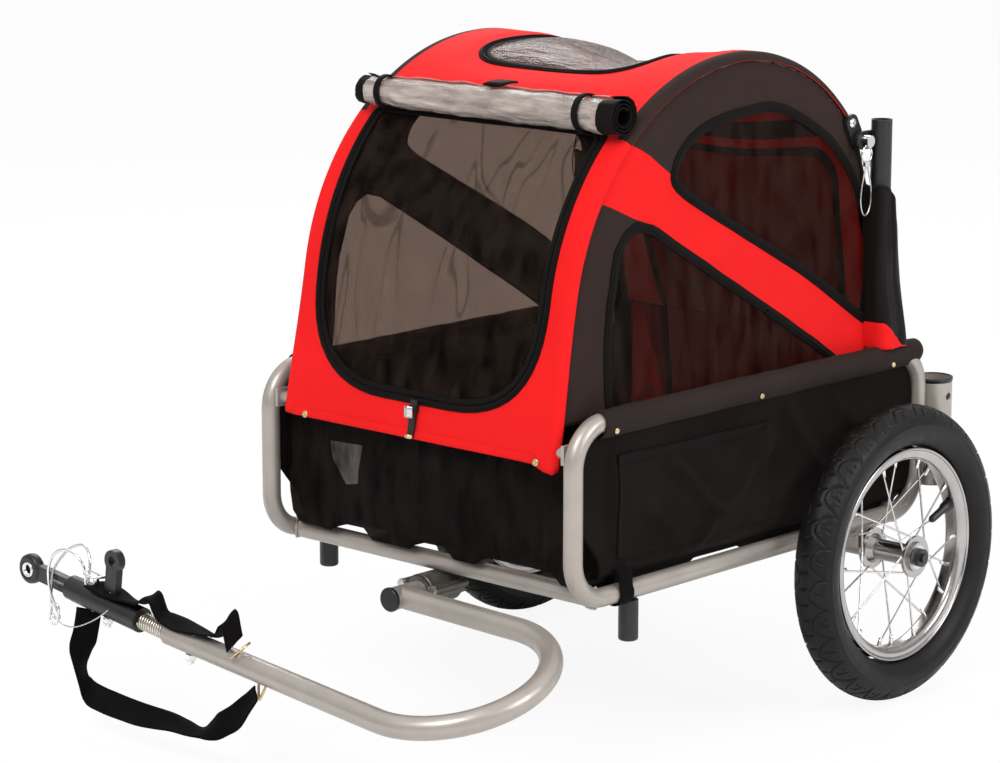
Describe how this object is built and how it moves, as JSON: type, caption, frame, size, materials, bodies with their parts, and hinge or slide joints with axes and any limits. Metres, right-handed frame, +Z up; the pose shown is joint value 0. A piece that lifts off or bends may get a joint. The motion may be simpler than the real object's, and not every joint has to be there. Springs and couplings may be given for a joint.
{
  "type": "dog bike trailer",
  "caption": "Fabric dog cabin on a bent-tube chassis with spoked wheels, folding canopy bows, net windows, roll-up rain cover and a hooked tow arm with a spring hitch",
  "frame": {"origin": "on the ground, midway between the two wheels, under the axle", "axes": "+X to the trailer's left wheel, -Y forward to the tow arm, +Z up"},
  "size_m": [0.668, 0.7871, 0.6569],
  "materials": {
    "frame_tube": "satin silver-grey paint",
    "steel": "bright zinc",
    "black_plastic": "moulded",
    "dark_metal": "black powder coat",
    "brass": "plated",
    "chrome": "polished",
    "bright_alloy": "polished",
    "tyre": "moulded tread",
    "black_cloth": "coated weave",
    "red_cloth": "coated weave",
    "net_cloth": "open net",
    "clear_film": "clear soft film",
    "webbing": "woven band"
  },
  "bodies": {
    "chassis": {"loop_left": "frame_tube", "loop_right": "frame_tube", "cross_rails": "frame_tube", "axle_tube": "steel", "axle_brackets": "steel", "front_feet": "black_plastic", "bow_tabs": "frame_tube", "frame_bolts": "steel", "post_hinges": "black_plastic", "handle_sockets": "frame_tube", "receiver_saddle": "dark_metal", "receiver_keeper": "dark_metal", "receiver_bolts": "brass", "rail_sleeves": "black_cloth", "tub_floor": "black_cloth", "tub_front": "net_cloth", "tub_side_left": "black_cloth", "tub_side_right": "black_cloth", "tub_rear": "black_cloth", "canopy_side_left": "black_cloth", "canopy_side_right": "black_cloth", "side_windows_left": "net_cloth", "side_windows_right": "net_cloth", "canopy_rear": "black_cloth", "axle_pins": "steel"},
    "button_left": {"button_left": "black_plastic"},
    "button_right": {"button_right": "black_plastic"},
    "wheel_left": {"tyre_left": "tyre", "rim_left": "bright_alloy", "spokes_left": "steel", "hub_left": "bright_alloy", "bearings_left": "steel"},
    "wheel_right": {"tyre_right": "tyre", "rim_right": "bright_alloy", "spokes_right": "steel", "hub_right": "bright_alloy", "bearings_right": "steel"},
    "canopy_frame": {"bow_left": "dark_metal", "bow_right": "dark_metal", "bow_lugs": "dark_metal", "canopy_front": "red_cloth", "canopy_roof": "red_cloth", "rain_roll": "clear_film", "roll_straps": "black_cloth"},
    "door": {"door_panel": "net_cloth"},
    "zip": {"zip_slider": "black_plastic"},
    "sunroof": {"sunroof_cover": "clear_film"},
    "rear_post_left": {"rear_post_left": "dark_metal"},
    "rear_post_right": {"rear_post_right": "dark_metal"},
    "lock_pin_left": {"lock_pin_left": "steel", "lanyard_left": "steel"},
    "lock_pin_right": {"lock_pin_right": "steel", "lanyard_right": "steel"},
    "tow_arm": {"tow_arm": "frame_tube", "arm_cap": "black_plastic", "hitch_spring": "brass"},
    "hitch": {"hitch_housing": "black_plastic", "hitch_fork": "black_plastic", "safety_strap": "webbing"},
    "hitch_pin": {"hitch_pin": "chrome"}
  },
  "joints": [
    {"name": "wheel_left_spin", "type": "hinge", "parent": "chassis", "child": "wheel_left", "pos_m": [0.2485, 0, 0.15], "axis": [1, 0, 0], "continuous": true},
    {"name": "wheel_right_spin", "type": "hinge", "parent": "chassis", "child": "wheel_right", "pos_m": [-0.2485, 0, 0.15], "axis": [1, 0, 0], "continuous": true},
    {"name": "button_left_press", "type": "slide", "parent": "chassis", "child": "button_left", "axis": [1, 0, 0], "range_m": [-0.003, 0], "stiffness_N_per_m": 250},
    {"name": "button_right_press", "type": "slide", "parent": "chassis", "child": "button_right", "axis": [-1, 0, 0], "range_m": [-0.003, 0], "stiffness_N_per_m": 250},
    {"name": "canopy_fold", "type": "hinge", "parent": "chassis", "child": "canopy_frame", "pos_m": [0, -0.4245, 0.312], "axis": [1, 0, 0], "range_deg": [-23, 0], "deforming": ["canopy_side_left", "canopy_side_right", "side_windows_left", "side_windows_right", "canopy_rear"]},
    {"name": "rear_post_left_fold", "type": "hinge", "parent": "chassis", "child": "rear_post_left", "pos_m": [0.1925, 0.03614, 0.362], "axis": [1, 0, 0], "range_deg": [0, 80]},
    {"name": "rear_post_right_fold", "type": "hinge", "parent": "chassis", "child": "rear_post_right", "pos_m": [-0.1925, 0.03614, 0.362], "axis": [1, 0, 0], "range_deg": [0, 80]},
    {"name": "lock_pin_left_pull", "type": "slide", "parent": "rear_post_left", "child": "lock_pin_left", "axis": [1, 0, 0], "range_m": [0, 0.035]},
    {"name": "lock_pin_right_pull", "type": "slide", "parent": "rear_post_right", "child": "lock_pin_right", "axis": [-1, 0, 0], "range_m": [0, 0.035]},
    {"name": "tow_arm_swivel", "type": "hinge", "parent": "chassis", "child": "tow_arm", "pos_m": [0, -0.406, 0.14825], "axis": [0, 1, 0], "range_deg": [-12, 12]},
    {"name": "hitch_flex", "type": "hinge", "parent": "tow_arm", "child": "hitch", "pos_m": [-0.18682, -0.59813, 0.11274], "axis": [0, 0, 1], "range_deg": [-35, 35], "stiffness_Nm_per_rad": 20, "deforming": ["hitch_spring"]},
    {"name": "hitch_pin_lift", "type": "slide", "parent": "hitch", "child": "hitch_pin", "axis": [0.1305, 0, 0.9914], "range_m": [0, 0.024]},
    {"name": "door_swing", "type": "hinge", "parent": "canopy_frame", "child": "door", "pos_m": [0, -0.3402, 0.5804], "axis": [1, 0, 0], "range_deg": [-80, 0]},
    {"name": "zip_slide", "type": "slide", "parent": "canopy_frame", "child": "zip", "axis": [1, 0, 0], "range_m": [-0.025, 0.025]},
    {"name": "sunroof_lift", "type": "hinge", "parent": "canopy_frame", "child": "sunroof", "pos_m": [0, -0.08385, 0.6268], "axis": [1, 0, 0], "range_deg": [-75, 0]}
  ],
  "couplings": [
    {"joint": "rear_post_left_fold", "follows": "canopy_fold", "ratio": -3.478},
    {"joint": "rear_post_right_fold", "follows": "canopy_fold", "ratio": -3.478}
  ]
}
